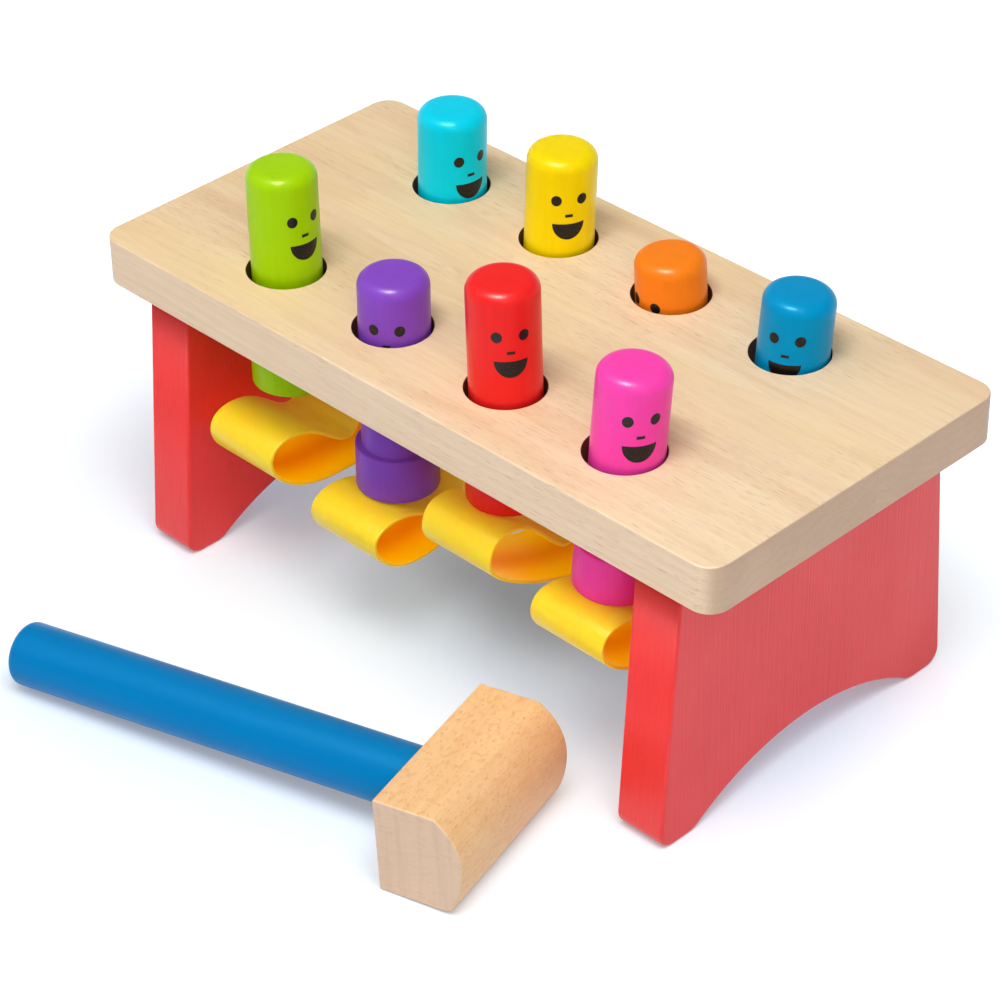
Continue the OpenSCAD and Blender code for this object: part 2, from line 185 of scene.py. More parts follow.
# Lacquer colours of the pegs, as sRGB
PEG_COLOURS = {
    "green": (0.655, 0.845, 0.0),
    "cyan": (0.0, 0.84, 0.95),
    "purple": (0.53, 0.285, 0.77),
    "yellow": (1.0, 0.88, 0.0),
    "red": (0.965, 0.14, 0.13),
    "orange": (1.0, 0.525, 0.08),
    "pink": (1.0, 0.265, 0.69),
    "blue": (0.0, 0.585, 0.80),
}
# How much of each peg's sheen takes its colour
SHEEN_TINTS = {"green": 0.55, "cyan": 0.6, "purple": 0.25, "yellow": 0.6, "red": 0.2, "orange": 0.3,
               "pink": 0.2, "blue": 0.8}
# Front and back peg of each pair, from left to right
PAIRS = (("green", "cyan"), ("purple", "yellow"), ("red", "orange"), ("pink", "blue"))


def linear(colour):
    """An sRGB colour as Blender's linear RGBA."""
    return (*[c / 12.92 if c <= 0.04045 else ((c + 0.055) / 1.055) ** 2.4 for c in colour], 1)


# Materials

class Graph:
    """A material's node tree, with short ways to add nodes and join them."""

    def __init__(self, name):
        self.material = bpy.data.materials.new(name)
        self.material.use_nodes = True
        self.tree = self.material.node_tree
        self.shader = self.tree.nodes["Principled BSDF"]

    def add(self, kind, inputs=(), **settings):
        """A new node. inputs is a list of (input's name or number, value or output)."""
        node = self.tree.nodes.new("ShaderNode" + kind)
        for key, value in settings.items():
            setattr(node, key, value)
        for key, value in inputs:
            self.put(node, key, value)
        return node

    def put(self, node, key, value):
        if isinstance(value, bpy.types.NodeSocket):
            self.tree.links.new(value, node.inputs[key])
        else:
            node.inputs[key].default_value = value

    def shade(self, **values):
        """Sets the shader's sockets; an underscore in a name stands for a space."""
        for key, value in values.items():
            self.put(self.shader, key.replace("_", " "), value)

    def place(self, scale=(1, 1, 1)):
        """The piece's own coordinates in metres, each times its scale."""
        coords = self.add("TexCoord").outputs["Object"]
        return self.add("VectorMath", [(0, coords), (1, scale)], operation="MULTIPLY").outputs[0]

    def noise(self, scale, detail=2, rough=0.5):
        """Noise from 0 to 1, with features of 1/scale metres along each axis."""
        inputs = [("Vector", self.place(scale)), ("Scale", 1.0), ("Detail", detail), ("Roughness", rough)]
        return self.add("TexNoise", inputs).outputs[0]

    def math(self, operation, a, b=0.0):
        return self.add("Math", [(0, a), (1, b)], operation=operation).outputs[0]

    def span(self, value, low, high, to_low=0.0, to_high=1.0):
        """value between low and high, spread to the new span and kept inside it."""
        inputs = [("Value", value), ("From Min", low), ("From Max", high), ("To Min", to_low),
                  ("To Max", to_high)]
        return self.add("MapRange", inputs, interpolation_type="SMOOTHSTEP").outputs[0]

    def mix(self, share, a, b, blend="MIX"):
        node = self.add("Mix", [(0, share), (6, a), (7, b)], data_type="RGBA", blend_type=blend)
        return node.outputs[2]

    def facing(self):
        """The surface's normal as X, Y and Z in the piece's own axes."""
        normal = self.add("NewGeometry").outputs["Normal"]
        turned = self.add("VectorTransform", [(0, normal)], convert_from="WORLD", convert_to="OBJECT",
                          vector_type="NORMAL").outputs[0]
        return self.add("SeparateXYZ", [(0, turned)]).outputs[:3]

    def bump(self, height, distance):
        node = self.add("Bump", [("Height", height), ("Distance", distance)])
        self.put(self.shader, "Normal", node.outputs[0])


def pine(name, pith_y, pith_z, painted_bore_shade=False):
    """Pale wood with short dark pores, under a thin satin lacquer. The length of the grain is X.
    The pith's place is in the piece's own coordinates. The last argument darkens the drilled walls inside
    the holes: partly the end grain's own darker tone, partly painted shade."""
    g = Graph(name)
    x, y, z = g.add("SeparateXYZ", [(0, g.place())]).outputs[:3]
    wander = g.span(g.noise((3, 22, 22), 3), 0.25, 0.75, -0.009, 0.009)
    across = g.math("SUBTRACT", y, pith_y)
    above = g.math("ADD", g.math("SUBTRACT", z, pith_z), wander)
    sum_squares = g.math("ADD", g.math("MULTIPLY", across, across), g.math("MULTIPLY", above, above))
    rings = g.math("FRACT", g.math("DIVIDE", g.math("SQRT", sum_squares), RING_GAP))
    ring_tone = g.math("MULTIPLY", g.span(rings, 0.0, 0.25), g.span(rings, 1.0, 0.3, 1.0, 0.0))
    broad = g.span(g.noise((6, 34, 34), 3, 0.55), 0.36, 0.64)
    blotch = g.span(g.noise((11, 60, 60), 3, 0.6), 0.47, 0.70)
    cream = g.span(g.noise((9, 90, 90), 3, 0.6), 0.48, 0.70)
    fibre = g.span(g.noise((22, 520, 520), 4, 0.65), 0.32, 0.72)
    fine = g.span(g.noise((90, 1700, 1700), 3, 0.6), 0.35, 0.75)
    patches = g.span(g.noise((12, 38, 38), 2), 0.40, 0.62, 0.15, 1.0)
    pores = g.span(g.noise((150, 2700, 2700), 1, 0.5), 0.60, 0.73)
    pores = g.math("MULTIPLY", pores, patches)
    dashes = g.span(g.noise((60, 1600, 1600), 2, 0.5), 0.60, 0.74)
    up, end = wood_sides(g)
    top = g.mix(broad, linear((0.960, 0.846, 0.662)), linear((0.966, 0.866, 0.716)))
    warm_end = g.span(x, -0.14, 0.02, 0.3, 0.0)
    top = g.mix(warm_end, top, linear((0.945, 0.79, 0.58)))
    top = g.mix(g.math("MULTIPLY", blotch, 0.45), top, linear((0.895, 0.735, 0.565)))
    top = g.mix(g.math("MULTIPLY", cream, 0.45), top, linear((0.980, 0.888, 0.742)))
    top = g.mix(g.math("MULTIPLY", ring_tone, 0.16), top, linear((0.86, 0.69, 0.51)))
    # The sides are a little cooler than the top: painted reflection of the pale floor
    side = g.mix(broad, linear((0.942, 0.830, 0.702)), linear((0.950, 0.845, 0.725)))
    side = g.mix(g.math("MULTIPLY", ring_tone, 0.16), side, linear((0.83, 0.70, 0.56)))
    cut = g.mix(broad, linear((0.865, 0.735, 0.625)), linear((0.825, 0.695, 0.585)))
    cut = g.mix(g.math("MULTIPLY", ring_tone, 0.22), cut, linear((0.78, 0.64, 0.52)))
    cut_grain = g.noise((500, 1500, 1500), 2, 0.6)
    cut = g.mix(g.math("MULTIPLY", cut_grain, 0.3), cut, linear((0.76, 0.63, 0.52)))
    colour = g.mix(end, g.mix(up, side, top), cut)
    colour = g.mix(g.math("MULTIPLY", fibre, 0.18), colour, linear((0.84, 0.69, 0.53)))
    colour = g.mix(g.math("MULTIPLY", fine, 0.10), colour, linear((0.80, 0.66, 0.50)))
    colour = g.mix(g.math("MULTIPLY", dashes, 0.22), colour, linear((0.80, 0.62, 0.45)))
    colour = g.mix(g.math("MULTIPLY", pores, 0.48), colour, linear((0.68, 0.47, 0.31)))
    # Painted shade on the walls inside the holes, with some of the end grain's own darker tone
    if painted_bore_shade:
        inside = g.math("MULTIPLY", g.span(g.math("ABSOLUTE", x), 0.11, 0.13, 1.0, 0.0),
                        g.span(g.math("ABSOLUTE", y), 0.056, 0.064, 1.0, 0.0))
        bore_shade = g.math("MULTIPLY", inside, g.math("SUBTRACT", 1.0, up))
        colour = g.mix(bore_shade, colour, linear((0.46, 0.30, 0.20)))
    g.shade(Base_Color=colour, Roughness=g.span(fibre, 0.0, 1.0, 0.42, 0.54), Specular_IOR_Level=0.4)
    height = g.math("ADD", g.math("MULTIPLY", fibre, 0.6), g.math("MULTIPLY", pores, -0.9))
    g.bump(height, 0.06 * MM)
    return g.material


def wood_sides(g):
    """How far a point of a plank faces up or down, and how far it faces along the grain, X."""
    x, _, z = g.facing()
    return (g.span(g.math("ABSOLUTE", z), 0.35, 0.9), g.span(g.math("ABSOLUTE", x), 0.35, 0.9))


def beech(name):
    """Pinkish beech. Its flecks are long along Y, wide along X and thin along Z, as its rays are."""
    g = Graph(name)
    stripes = g.span(g.noise((360, 7, 24), 3, 0.55), 0.38, 0.68)
    broad = g.span(g.noise((55, 12, 55), 3), 0.35, 0.66)
    blotch = g.span(g.noise((120, 60, 120), 3, 0.6), 0.42, 0.68)
    fibre = g.span(g.noise((700, 30, 700), 4, 0.65), 0.32, 0.72)
    flecks = g.span(g.noise((640, 330, 1900), 2, 0.5), 0.48, 0.72)
    specks = g.span(g.noise((1000, 480, 2500), 1, 0.5), 0.60, 0.75)
    colour = g.mix(broad, linear((0.972, 0.815, 0.592)), linear((0.950, 0.778, 0.556)))
    colour = g.mix(g.math("MULTIPLY", blotch, 0.28), colour, linear((0.915, 0.690, 0.455)))
    colour = g.mix(g.math("MULTIPLY", stripes, 0.10), colour, linear((0.87, 0.64, 0.42)))
    colour = g.mix(g.math("MULTIPLY", fibre, 0.14), colour, linear((0.86, 0.63, 0.42)))
    colour = g.mix(g.math("MULTIPLY", flecks, 0.38), colour, linear((0.88, 0.62, 0.40)))
    colour = g.mix(g.math("MULTIPLY", specks, 0.42), colour, linear((0.76, 0.48, 0.29)))
    end = g.span(g.math("ABSOLUTE", g.facing()[1]), 0.5, 0.95)
    ticks = g.span(g.noise((260, 900, 1500), 2, 0.5), 0.50, 0.70)
    cut = g.mix(g.math("MULTIPLY", stripes, 0.30), linear((0.900, 0.765, 0.650)),
                linear((0.81, 0.67, 0.55)))
    cut = g.mix(g.math("MULTIPLY", ticks, 0.22), cut, linear((0.79, 0.65, 0.52)))
    g.shade(Base_Color=g.mix(end, colour, cut), Roughness=g.span(fibre, 0.0, 1.0, 0.40, 0.55),
            Specular_IOR_Level=0.4)
    g.bump(g.math("SUBTRACT", fibre, flecks), 0.05 * MM)
    return g.material


def painted_wood(name, colour, darker, grain_scale, roughness, grain_height, streak=0.3, tint=0.0,
                 gloss=0.5):
    """A satin paint or lacquer through which the grain of the wood just shows."""
    g = Graph(name)
    grain = g.span(g.noise(grain_scale, 4, 0.65), 0.33, 0.72)
    cloud = g.noise((28, 28, 28), 2)
    tone = g.math("ADD", g.math("MULTIPLY", grain, streak),
                  g.math("MULTIPLY", g.span(cloud, 0.35, 0.7), 0.3))
    sheen = tuple(1 - tint + tint * c / max(colour) for c in colour)
    g.shade(Base_Color=g.mix(tone, linear(colour), linear(darker)), Specular_Tint=(*sheen, 1),
            Roughness=g.span(cloud, 0.3, 0.7, roughness, roughness + 0.07), Specular_IOR_Level=gloss)
    wet = g.noise((330, 330, 330), 2)
    height = g.math("ADD", grain, g.math("MULTIPLY", wet, 0.8))
    g.bump(height, grain_height)
    return g.material


def shaded(colour, share):
    return tuple(c * share for c in colour)


def band_plastic(name, rim, middle_shade, glow_rim, glow_middle, glow_strength, gloss):
    """Glossy sheet plastic, with a colour and a glow for the sheet's two rims and for its middle; the
    darker middle is painted shade. The glow is painted light that stands for the light that comes through
    the sheet."""
    g = Graph(name)
    cloud = g.noise((45, 45, 45), 2)
    # The bands stand one hole pitch apart, so one wave of that length along X spans each of them
    x = g.add("SeparateXYZ", [(0, g.place())]).outputs[0]
    share = g.math("SUBTRACT", g.math("FRACT", g.math("DIVIDE", x, band_pitch())), 0.5)
    # Painted shade: towards the middle of each band the colour and the glow move to the middle's darker
    # ones
    near_rim = g.span(g.math("ABSOLUTE", share), 0.0, 0.27)
    colour = g.mix(near_rim, linear(middle_shade), linear(rim))
    colour = g.mix(g.span(cloud, 0.3, 0.7, 0.0, 0.3), colour, linear(shaded(rim, 0.97)))
    g.shade(Base_Color=colour, Roughness=g.span(cloud, 0.3, 0.7, 0.29, 0.35), Subsurface_Weight=1.0,
            Subsurface_Radius=(1.0, 0.5, 0.05), Subsurface_Scale=0.35 * MM, Specular_IOR_Level=gloss,
            Specular_Tint=linear((1.0, 0.95, 0.7)),
            Emission_Color=g.mix(near_rim, linear(glow_middle), linear(glow_rim)),
            Emission_Strength=glow_strength)
    g.bump(g.noise((130, 130, 130), 2), 0.06 * MM)
    return g.material


def band_pitch():
    """Distance between the middles of two neighbouring bands. The middles lie half a pitch off X = 0."""
    first, second = (middle(f"{front}_{back}_band").x for front, back in PAIRS[:2])
    return abs(second - first)


def ink(name):
    g = Graph(name)
    speck = g.span(g.noise((1300, 1300, 1300), 2), 0.5, 0.75)
    g.shade(Base_Color=g.mix(speck, linear((0.075, 0.055, 0.045)), linear((0.22, 0.15, 0.12))),
            Roughness=g.span(speck, 0.0, 1.0, 0.30, 0.38), Specular_IOR_Level=0.3)
    return g.material


def steel(name):
    g = Graph(name)
    brushed = g.noise((2400, 300, 300), 3, 0.6)
    g.shade(Base_Color=g.mix(brushed, linear((0.80, 0.80, 0.82)), linear((0.68, 0.69, 0.71))), Metallic=1.0,
            Roughness=g.span(brushed, 0.3, 0.7, 0.28, 0.42))
    g.bump(brushed, 0.02 * MM)
    return g.material


# Meshes

def new_piece(name, points, faces, material, matrix=Matrix.Identity(4)):
    """A smooth-shaded mesh with its faces turned outwards."""
    mesh = bpy.data.meshes.new(name)
    mesh.from_pydata([tuple(p) for p in points], [], faces)
    bm = bmesh.new()
    bm.from_mesh(mesh)
    bmesh.ops.remove_doubles(bm, verts=bm.verts, dist=1e-7)
    bmesh.ops.recalc_face_normals(bm, faces=bm.faces)
    bm.to_mesh(mesh)
    bm.free()
    mesh.polygons.foreach_set("use_smooth", [True] * len(mesh.polygons))
    mesh.materials.append(material)
    piece = bpy.data.objects.new(name, mesh)
    piece.matrix_world = matrix
    bpy.context.scene.collection.objects.link(piece)
    return piece


def weigh_normals(piece):
    """Keeps flat faces looking flat beside their rounded edges."""
    modifier = piece.modifiers.new("normals", "WEIGHTED_NORMAL")
    modifier.keep_sharp = True
    modifier.weight = 80
    return piece


def arc(centre, radius, start, end, steps):
    """Points of an arc, with its angles in degrees."""
    angles = np.radians(np.linspace(start, end, steps + 1))
    return [(centre[0] + radius * math.cos(a), centre[1] + radius * math.sin(a)) for a in angles]


def inset(loop, distance):
    """A closed outline moved towards its left by a distance, square to its sides."""
    points = np.array(loop)
    before = points - np.roll(points, 1, axis=0)
    after = np.roll(points, -1, axis=0) - points
    before /= np.linalg.norm(before, axis=1)[:, None]
    after /= np.linalg.norm(after, axis=1)[:, None]
    normals = np.stack([-before[:, 1] - after[:, 1], before[:, 0] + after[:, 0]], 1)
    normals /= (1 + np.sum(before * after, axis=1))[:, None]
    return points + normals * distance


def plate(name, outer, holes, depth, edge, hole_edge, material, matrix):
    """A plate with rounded edges. outer runs anticlockwise and holes clockwise; its depth is along Z."""
    points, faces, caps = [], [], {0: [], 1: []}
    for loop, radius in [(outer, edge)] + [(hole, hole_edge) for hole in holes]:
        angles = [math.pi / 2 * k / EDGE_STEPS for k in range(EDGE_STEPS + 1)]
        low = [(radius * (1 - math.sin(a)), radius * (1 - math.cos(a))) for a in angles]
        rings = low + [(d, depth - h) for d, h in reversed(low)]
        first = len(points)
        count = len(loop)
        for distance, height in rings:
            points += [(u, v, height) for u, v in inset(loop, distance)]
        for r in range(len(rings) - 1):
            for k in range(count):
                a, b = first + r * count + k, first + r * count + (k + 1) % count
                faces.append((a, b, b + count, a + count))
        caps[0].append(range(first, first + count))
        caps[1].append(range(first + (len(rings) - 1) * count, first + len(rings) * count))
    for loops in caps.values():
        indices = [i for loop in loops for i in loop]
        flat = [Vector(points[i][:2]) for i in indices]
        rims, start = [], 0
        for loop in loops:
            rims.append(list(range(start, start + len(loop))))
            start += len(loop)
        made = delaunay_2d_cdt(flat, [], rims, 2, 1e-8)
        origin = {new: old[0] for new, old in enumerate(made[3]) if old}
        faces += [tuple(indices[origin[i]] for i in face) for face in made[2]]
    return weigh_normals(new_piece(name, points, faces, material, matrix))


def lathe(name, profile, material, matrix):
    """Turns a profile of (radius, height) points about Z. A point on the axis closes an end."""
    points, faces, rows = [], [], []
    for radius, height in profile:
        if radius < 1e-9:
            rows.append([len(points)])
            points.append((0, 0, height))
            continue
        rows.append(list(range(len(points), len(points) + ROUND_STEPS)))
        angles = [2 * math.pi * k / ROUND_STEPS for k in range(ROUND_STEPS)]
        points += [(radius * math.cos(a), radius * math.sin(a), height) for a in angles]
    for low, high in zip(rows, rows[1:]):
        for k in range(ROUND_STEPS):
            face = [row[j % len(row)] for row, j in ((low, k), (low, k + 1), (high, k + 1), (high, k))]
            faces.append(tuple(dict.fromkeys(face)))
    return new_piece(name, points, faces, material, matrix)


def middle(node):
    low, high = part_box(node)
    return (low + high) / 2


# Bench

def circle(centre, radius, steps):
    """A clockwise circle."""
    return arc(centre, radius, 0, -360, steps)[:-1]


def make_board(material):
    low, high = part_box("board")
    centre = (low + high) / 2
    half_x = (high.x - low.x) / 2
    half_y = (high.y - low.y) / 2
    r = BOARD_CORNER
    outer = []
    for corner, (sx, sy) in enumerate([(1, -1), (1, 1), (-1, 1), (-1, -1)]):
        start = -90 + 90 * corner
        outer += arc((sx * (half_x - r), sy * (half_y - r)), r, start, start + 90, 12)
    holes = []
    for x, y in hole_places():
        holes.append(circle((x, y - centre.y), HOLE_RADIUS, ROUND_STEPS))
    board = plate("pine_board", outer, holes, high.z - low.z, BOARD_EDGE, HOLE_EDGE, material,
                  Matrix.Translation((0, centre.y, low.z)))
    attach(board, "bench")
    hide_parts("board")


def hole_places():
    """Middle of each hole on the board: the columns are the bands', and the rows lie evenly beside them."""
    centre_y = middle("board").y
    return [(middle(f"{front}_{back}_band").x, centre_y + side * ROW_OUT)
            for front, back in PAIRS for side in (-1, 1)]


def leg_outline():
    """Outline of a leg in the Y-Z plane, from its middle: flared edges, rounded feet and an arch."""
    low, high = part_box("left_leg")
    height = high.z - low.z
    top_half = FOOT_HALF - LEG_FLARE
    lean = math.atan2(LEG_FLARE, height)
    foot = (FOOT_HALF - FOOT_RADIUS * (1 + math.sin(lean)) / math.cos(lean), FOOT_RADIUS)
    arch = (0, ARCH_HEIGHT - ARCH_RADIUS)
    reach = ARCH_RADIUS + FOOT_INNER_RADIUS
    inner = (math.sqrt(reach ** 2 - (FOOT_INNER_RADIUS - arch[1]) ** 2), FOOT_INNER_RADIUS)
    meet = math.degrees(math.atan2(inner[1] - arch[1], inner[0]))
    right = (arc(inner, FOOT_INNER_RADIUS, meet - 180, -90, 8)
             + arc(foot, FOOT_RADIUS, -90, math.degrees(lean), 12) + [(top_half, height)])
    left = [(-y, z) for y, z in reversed(right)]
    return arc(arch, ARCH_RADIUS, 180 - meet, meet, 48)[1:-1] + right + left


def make_legs(material):
    for side in ("left", "right"):
        low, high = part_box(f"{side}_leg")
        # Columns: the outline's first axis is Y, its second Z, and the depth is X
        matrix = Matrix(((0, 0, 1, low.x), (1, 0, 0, middle(f"{side}_leg").y), (0, 1, 0, low.z),
                         (0, 0, 0, 1)))
        leg = plate(f"{side}_leg_painted", leg_outline(), [], high.x - low.x, LEG_EDGE, 0, material,
                    matrix)
        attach(leg, "bench")
        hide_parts(f"{side}_leg")


def screw_places():
    """Middle of each screw along X, from the groups in which the node's points lie."""
    xs = sorted({round(v.co.x, 5) for v in NODES["batten_screws"].data.vertices})
    groups = [[xs[0]]]
    for x in xs[1:]:
        if x - groups[-1][-1] > SCREW_GAP:
            groups.append([])
        groups[-1].append(x)
    return [(group[0] + group[-1]) / 2 for group in groups]


def make_batten(material):
    low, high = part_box("clamp_batten")
    centre = (low + high) / 2
    half_x = (high.x - low.x) / 2
    half_y = (high.y - low.y) / 2
    outer = [(-half_x, -half_y), (half_x, -half_y), (half_x, half_y), (-half_x, half_y)]
    holes = [circle((x, 0), SCREW_HEAD_RADIUS, 40) for x in screw_places()]
    batten = plate("clamp_batten_eased", outer, holes, high.z - low.z, BATTEN_EDGE, SCREW_HOLE_EDGE,
                   material, Matrix.Translation((0, centre.y, low.z)))
    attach(batten, "bench")
    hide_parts("clamp_batten")


# Bands

def band_outline(node):
    """The outer outline of a band's end in the Y-Z plane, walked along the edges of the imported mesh."""
    mesh = NODES[node].data
    end_x = max(v.co.x for v in mesh.vertices)
    places = {}
    for v in mesh.vertices:
        if abs(v.co.x - end_x) < 1e-6:
            places[v.index] = (round(v.co.y, 6), round(v.co.z, 6))
    links = {}
    for face in mesh.polygons:
        if abs(face.normal.x) > 0.5:
            continue
        ends = list(dict.fromkeys(places[i] for i in face.vertices if i in places))
        if len(ends) == 2:
            links.setdefault(ends[0], set()).add(ends[1])
            links.setdefault(ends[1], set()).add(ends[0])
    loops = []
    while links:
        here = min(links)
        loop = [here]
        while links.get(here):
            after = next((p for p in links[here] if p in links), None)
            links.pop(here)
            if after is None:
                break
            loop.append(after)
            here = after
        links.pop(here, None)
        loops.append(np.array(loop))
    return max(loops, key=lambda loop: np.ptp(loop[:, 0]) + np.ptp(loop[:, 1]))


def smooth_loop(loop, step):
    """A closed curve through the points of an outline, in short even steps."""
    gaps = np.linalg.norm(np.roll(loop, -1, axis=0) - loop, axis=1)
    tangents = (np.roll(loop, -1, axis=0) - np.roll(loop, 1, axis=0)) / (gaps + np.roll(gaps, 1))[:, None]
    made = []
    for k, gap in enumerate(gaps):
        a, b = loop[k], loop[(k + 1) % len(loop)]
        ta, tb = tangents[k] * gap, tangents[(k + 1) % len(loop)] * gap
        for t in np.arange(0, 1, 1 / max(1, round(gap / step))):
            made.append((2 * t ** 3 - 3 * t ** 2 + 1) * a + (t ** 3 - 2 * t ** 2 + t) * ta
                        + (3 * t ** 2 - 2 * t ** 3) * b + (t ** 3 - t ** 2) * tb)
    return np.array(made)


def half_line(line, middle_y, side):
    """The part of a closed line on one side of middle_y, from its top crossing to its bottom one."""
    far = (line[:, 0] - middle_y) * side
    crossings = []
    for k in range(len(line)):
        j = (k + 1) % len(line)
        if (far[k] <= 0) != (far[j] <= 0):
            share = far[k] / (far[k] - far[j])
            crossings.append((k, line[k] + share * (line[j] - line[k])))
    top, bottom = sorted(crossings, key=lambda c: -c[1][1])
    forward = far[(top[0] + 1) % len(line)] > 0
    k = (top[0] + 1) % len(line) if forward else top[0]
    points = [top[1]]
    while far[k] > 0:
        if np.linalg.norm(line[k] - points[-1]) > BAND_LEAST_STEP:
            points.append(line[k])
        k = (k + (1 if forward else -1)) % len(line)
    return np.array(points + [bottom[1]])


def band_section(half_width):
    """Rounded section of the sheet: across its width, and through its thickness from the middle."""
    half_t = BAND_THICKNESS / 2
    r = BAND_EDGE
    section = []
    for corner, (sx, sy) in enumerate([(1, -1), (1, 1), (-1, 1), (-1, -1)]):
        start = -90 + 90 * corner
        section += arc((sx * (half_width - r), sy * (half_t - r)), r, start, start + 90, 3)
    return section


def make_band(front, back, outside, inside):
    """A band in two halves that meet under the middle of the bench. The loop's inner side is its own
    material, with the light that comes through the sheet painted into it."""
    node = f"{front}_{back}_band"
    low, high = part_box(node)
    centre = middle(node)
    bench_y = middle("board").y
    line = smooth_loop(band_outline(node), BAND_STEP)
    section = band_section((high.x - low.x) / 2)
    inner_side = len(section) // 2 - 1
    for colour, side in ((front, -1), (back, 1)):
        half = half_line(line, bench_y, side)
        along = np.gradient(half, axis=0)
        along /= np.linalg.norm(along, axis=1)[:, None]
        inward = np.stack([along[:, 1], -along[:, 0]], 1) * side
        middle_line = half + inward * BAND_THICKNESS / 2
        points, faces = [], []
        count = len(section)
        for (y, z), (ny, nz) in zip(middle_line, inward):
            points += [(centre.x + u, y + ny * d, z + nz * d) for u, d in section]
        for row in range(len(half) - 1):
            for k in range(count):
                a, b = row * count + k, row * count + (k + 1) % count
                faces.append((a, b, b + count, a + count))
        last = (len(half) - 1) * count
        faces += [tuple(range(count)), tuple(range(last, last + count))]
        piece = new_piece(f"{node}_{colour}_end", points, faces, outside)
        piece.data.materials.append(inside)
        for index in range(inner_side, last, count):
            piece.data.polygons[index].material_index = 1
        piece.data.set_sharp_from_angle(angle=math.radians(60))
        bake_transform(piece)
        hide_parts(node)


# Pegs

def peg_matrix(colour):
    """The place of a peg's foot, with Z along the peg's own axis, and the peg's length."""
    axis = Vector(JOINTS[f"{colour}_peg"]["axis"]).normalized()
    points = np.array([v.co for v in NODES[f"{colour}_peg"].data.vertices])
    along = points @ np.array(axis)
    ring = points[along < along.min() + FOOT_SLICE]
    foot = Vector((ring.min(0) + ring.max(0)) / 2)
    turn = Vector((0, 0, 1)).rotation_difference(axis).to_matrix().to_4x4()
    return Matrix.Translation(foot) @ turn, along.max() - along.min()


def peg_profile(length):
    r, rc, e = SHAFT_RADIUS, COLLAR_RADIUS, COLLAR_EDGE
    bottom = arc((rc - e, e), e, -90, 0, 4)
    rim = arc((rc - e, COLLAR_HEIGHT - e), e, 0, 90, 4)
    f = COLLAR_FILLET
    fillet = arc((r + f, COLLAR_HEIGHT + f), f, 270, 180, 3)
    shaft = [(r, COLLAR_HEIGHT + (length - COLLAR_HEIGHT) * k / 8) for k in range(1, 7)]
    top = arc((r - PEG_TOP_RADIUS, length - PEG_TOP_CROWN - PEG_TOP_RADIUS), PEG_TOP_RADIUS, 0, 88, 12)
    flat = top[-1][0]
    crown = [(flat * s, length - PEG_TOP_CROWN * s * s) for s in (0.75, 0.5, 0.25, 0)]
    return [(0, 0), (rc * 0.6, 0)] + bottom + rim + fillet + shaft + top + crown


def wrapped(shapes, radius, proud):
    """Thin closed pads round a cylinder. Each shape is (start, end, lower(s), upper(s)) along the round."""
    points, faces = [], []
    for start, end, lower, upper in shapes:
        first = len(points)
        steps = 28
        for k in range(steps + 1):
            s = (start + end) / 2 - (end - start) / 2 * math.cos(math.pi * k / steps)
            for depth in (-proud, proud):
                for height in (lower(s), upper(s)):
                    angle = s / radius
                    points.append(((radius + depth) * math.cos(angle), (radius + depth) * math.sin(angle),
                                   height))
        for k in range(steps):
            a = first + 4 * k
            b = a + 4
            faces += [(a + 2, b + 2, b + 3, a + 3), (a, a + 1, b + 1, b), (a + 1, a + 3, b + 3, b + 1),
                      (a, b, b + 2, a + 2)]
        last = first + 4 * steps
        faces += [(first, first + 2, first + 3, first + 1), (last, last + 1, last + 3, last + 2)]
    return points, faces


def ellipse_half(s, centre, half_width, half_height):
    return half_height * math.sqrt(max(0.0, 1 - ((s - centre) / half_width) ** 2))


def face_shapes():
    """The face's four shapes, with heights from the line of the eyes."""
    shapes = []
    for c in (-EYE_OUT, EYE_OUT):
        rise = lambda s, c=c: ellipse_half(s, c, EYE_HALF_WIDTH, EYE_HALF_HEIGHT)
        shapes.append((c - EYE_HALF_WIDTH, c + EYE_HALF_WIDTH, lambda s, f=rise: -f(s), rise))
    nose = -NOSE_BELOW_EYES
    shapes.append((-NOSE_HALF_WIDTH, NOSE_HALF_WIDTH, lambda s: nose - NOSE_HALF_HEIGHT,
                   lambda s: nose + NOSE_HALF_HEIGHT))
    lip = lambda s: -MOUTH_BELOW_EYES - MOUTH_TOP_SAG * (1 - (s / MOUTH_HALF_WIDTH) ** 2)
    chin = lambda s: -MOUTH_BELOW_EYES - ellipse_half(s, 0, MOUTH_HALF_WIDTH, MOUTH_HEIGHT)
    shapes.append((-MOUTH_HALF_WIDTH, MOUTH_HALF_WIDTH, lambda s: min(chin(s), lip(s)), lip))
    return shapes


def make_peg(colour, ink_material):
    body = f"{colour}_peg"
    matrix, length = peg_matrix(colour)
    paint = PEG_COLOURS[colour]
    lacquer = painted_wood(f"{colour}_lacquer", paint, shaded(paint, 0.94), grain_scale=(420, 420, 30),
                           roughness=0.28, grain_height=0.03 * MM, tint=SHEEN_TINTS[colour], gloss=0.18)
    peg = lathe(f"{colour}_peg_turned", peg_profile(length), lacquer, matrix)
    peg.data.set_sharp_from_angle(angle=math.radians(60))
    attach(peg, body)
    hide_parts(body)
    heading, depth, tilt = FACES[colour]
    points, faces = wrapped(face_shapes(), SHAFT_RADIUS, INK_PROUD)
    lean = math.tan(math.radians(tilt))
    points = [(x, y, z + lean * math.atan2(y, x) * SHAFT_RADIUS) for x, y, z in points]
    place = matrix @ Matrix.Translation((0, 0, length - depth * MM)) @ Matrix.Rotation(
        math.radians(heading), 4, "Z")
    face = new_piece(f"{colour}_peg_face", points, faces, ink_material, place)
    face.data.set_sharp_from_angle(angle=math.radians(40))
    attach(face, body)


# Mallet

